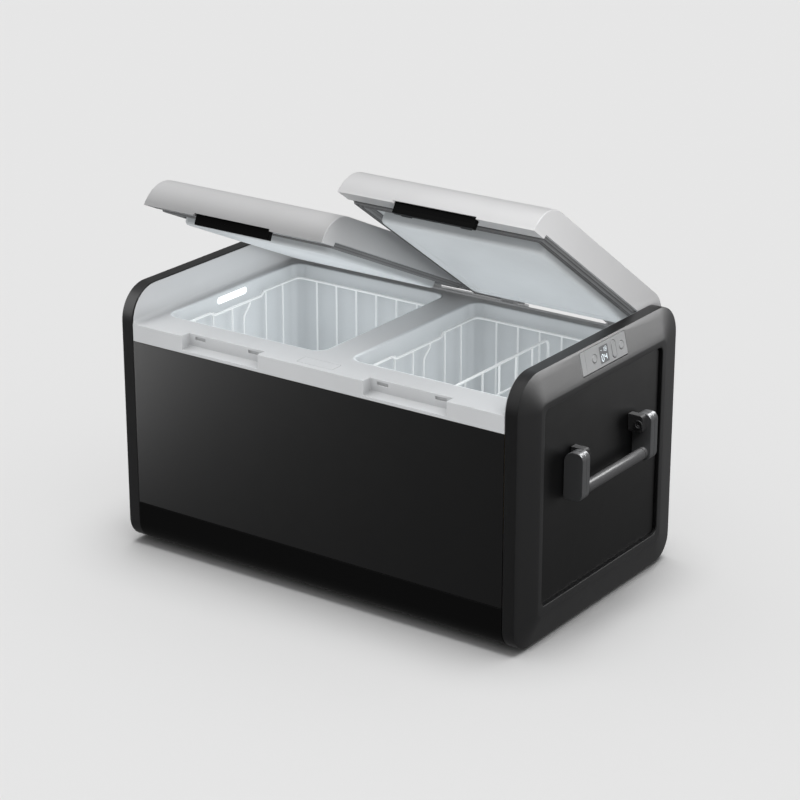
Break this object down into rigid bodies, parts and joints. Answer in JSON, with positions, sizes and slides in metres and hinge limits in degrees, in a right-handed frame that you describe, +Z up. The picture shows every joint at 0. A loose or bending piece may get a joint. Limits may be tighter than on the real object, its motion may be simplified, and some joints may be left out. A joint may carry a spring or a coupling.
{
  "type": "compressor cooler fridge",
  "caption": "Portable compressor cooler with split rear-hinged lids, front latches, swing-out end handles, lift-out wire baskets and a control panel set in one end.",
  "frame": {"origin": "centre of the cabinet's footprint, on the floor", "axes": "+X towards the end with the control panel, +Y towards the hinges, +Z up"},
  "size_m": [0.892, 0.495, 0.7119],
  "materials": {
    "black_plastic": "satin",
    "black_panel": "satin",
    "pale_plastic": "satin",
    "liner_plastic": "satin",
    "foam": "matte",
    "rubber": "matte",
    "anodised": "satin",
    "bare_steel": "satin",
    "coil_metal": "satin",
    "copper": "satin",
    "coated_wire": "gloss",
    "panel_metal": "satin",
    "keys": "satin",
    "display_glass": "gloss",
    "lamp_lens": "gloss",
    "compressor_paint": "satin"
  },
  "bodies": {
    "cabinet": {"front_panel": "black_panel", "rear_panel": "black_panel", "base_tray": "black_plastic", "left_end_cap": "black_plastic", "right_end_cap": "black_plastic", "left_end_panel": "black_plastic", "right_end_panel": "black_plastic", "left_foot_strip": "rubber", "right_foot_strip": "rubber", "top_frame": "pale_plastic", "centre_tab": "pale_plastic", "left_liner": "liner_plastic", "right_liner": "liner_plastic", "left_lamp": "lamp_lens", "right_lamp": "lamp_lens", "left_evaporator": "coil_metal", "right_evaporator": "coil_metal", "foam_body": "foam", "left_handle_front_mount": "black_plastic", "left_handle_rear_mount": "black_plastic", "right_handle_front_mount": "black_plastic", "right_handle_rear_mount": "black_plastic", "control_bezel": "panel_metal", "display_window": "display_glass", "mounting_plate": "bare_steel", "compressor": "compressor_paint", "condenser": "coil_metal", "fan_shroud": "black_plastic", "filter_drier": "copper", "discharge_line": "copper", "suction_line": "copper", "control_module": "coil_metal", "power_inlet": "black_plastic"},
    "left_lid": {"left_lid_shell": "pale_plastic", "left_lid_foam": "foam", "left_lid_liner": "liner_plastic", "left_lid_gasket": "rubber", "left_hinge_pin": "bare_steel"},
    "right_lid": {"right_lid_shell": "pale_plastic", "right_lid_foam": "foam", "right_lid_liner": "liner_plastic", "right_lid_gasket": "rubber", "right_hinge_pin": "bare_steel"},
    "left_latch": {"left_latch_handle": "black_plastic"},
    "right_latch": {"right_latch_handle": "black_plastic"},
    "left_handle": {"left_handle_front_arm": "anodised", "left_handle_rear_arm": "anodised", "left_handle_grip": "black_plastic"},
    "right_handle": {"right_handle_front_arm": "anodised", "right_handle_rear_arm": "anodised", "right_handle_grip": "black_plastic"},
    "power_key": {"power_button": "keys"},
    "menu_key": {"menu_button": "keys"},
    "rocker_key": {"rocker_button": "keys"},
    "left_basket_body": {"left_basket": "coated_wire"},
    "right_basket_body": {"right_basket": "coated_wire"},
    "divider_body": {"basket_divider": "coated_wire"},
    "left_drain": {"left_drain_plug": "rubber"},
    "right_drain": {"right_drain_plug": "rubber"},
    "fan": {"fan_impeller": "black_plastic"}
  },
  "joints": [
    {"name": "left_lid_hinge", "type": "hinge", "parent": "cabinet", "child": "left_lid", "pos_m": [-0.189, 0.226, 0.43], "axis": [-1, 0, 0], "range_deg": [-24.5, 70.5]},
    {"name": "right_lid_hinge", "type": "hinge", "parent": "cabinet", "child": "right_lid", "pos_m": [0.189, 0.226, 0.43], "axis": [-1, 0, 0], "range_deg": [-35, 60]},
    {"name": "left_latch_pivot", "type": "hinge", "parent": "left_lid", "child": "left_latch", "pos_m": [-0.189, -0.19921, 0.61224], "axis": [-1, 0, 0], "range_deg": [0, 35]},
    {"name": "right_latch_pivot", "type": "hinge", "parent": "right_lid", "child": "right_latch", "pos_m": [0.189, -0.15888, 0.68668], "axis": [-1, 0, 0], "range_deg": [0, 35]},
    {"name": "left_handle_pivot", "type": "hinge", "parent": "cabinet", "child": "left_handle", "pos_m": [-0.43, 0, 0.304], "axis": [0, 1, 0], "range_deg": [0, 90]},
    {"name": "right_handle_pivot", "type": "hinge", "parent": "cabinet", "child": "right_handle", "pos_m": [0.43, 0, 0.304], "axis": [0, -1, 0], "range_deg": [0, 90]},
    {"name": "power_press", "type": "slide", "parent": "cabinet", "child": "power_key", "axis": [-0.9749, 0, -0.2228], "range_m": [0, 0.001], "stiffness_N_per_m": 400},
    {"name": "menu_press", "type": "slide", "parent": "cabinet", "child": "menu_key", "axis": [-0.9749, 0, -0.2228], "range_m": [0, 0.001], "stiffness_N_per_m": 400},
    {"name": "rocker_tilt", "type": "hinge", "parent": "cabinet", "child": "rocker_key", "pos_m": [0.40682, 0.03, 0.44767], "axis": [0, 1, 0], "range_deg": [-2.5, 2.5]},
    {"name": "left_basket_lift", "type": "slide", "parent": "cabinet", "child": "left_basket_body", "axis": [0, 0, 1], "range_m": [0, 0.025]},
    {"name": "right_basket_lift", "type": "slide", "parent": "cabinet", "child": "right_basket_body", "axis": [0, 0, 1], "range_m": [0, 0.03]},
    {"name": "divider_lift", "type": "slide", "parent": "right_basket_body", "child": "divider_body", "axis": [0, 0, 1], "range_m": [0, 0.03]},
    {"name": "left_drain_pull", "type": "slide", "parent": "cabinet", "child": "left_drain", "axis": [0, 1, 0], "range_m": [0, 0.02]},
    {"name": "right_drain_pull", "type": "slide", "parent": "cabinet", "child": "right_drain", "axis": [0, 1, 0], "range_m": [0, 0.02]},
    {"name": "fan_spin", "type": "hinge", "parent": "cabinet", "child": "fan", "pos_m": [0.312, 0.1625, 0.09], "axis": [0, 1, 0], "continuous": true}
  ]
}
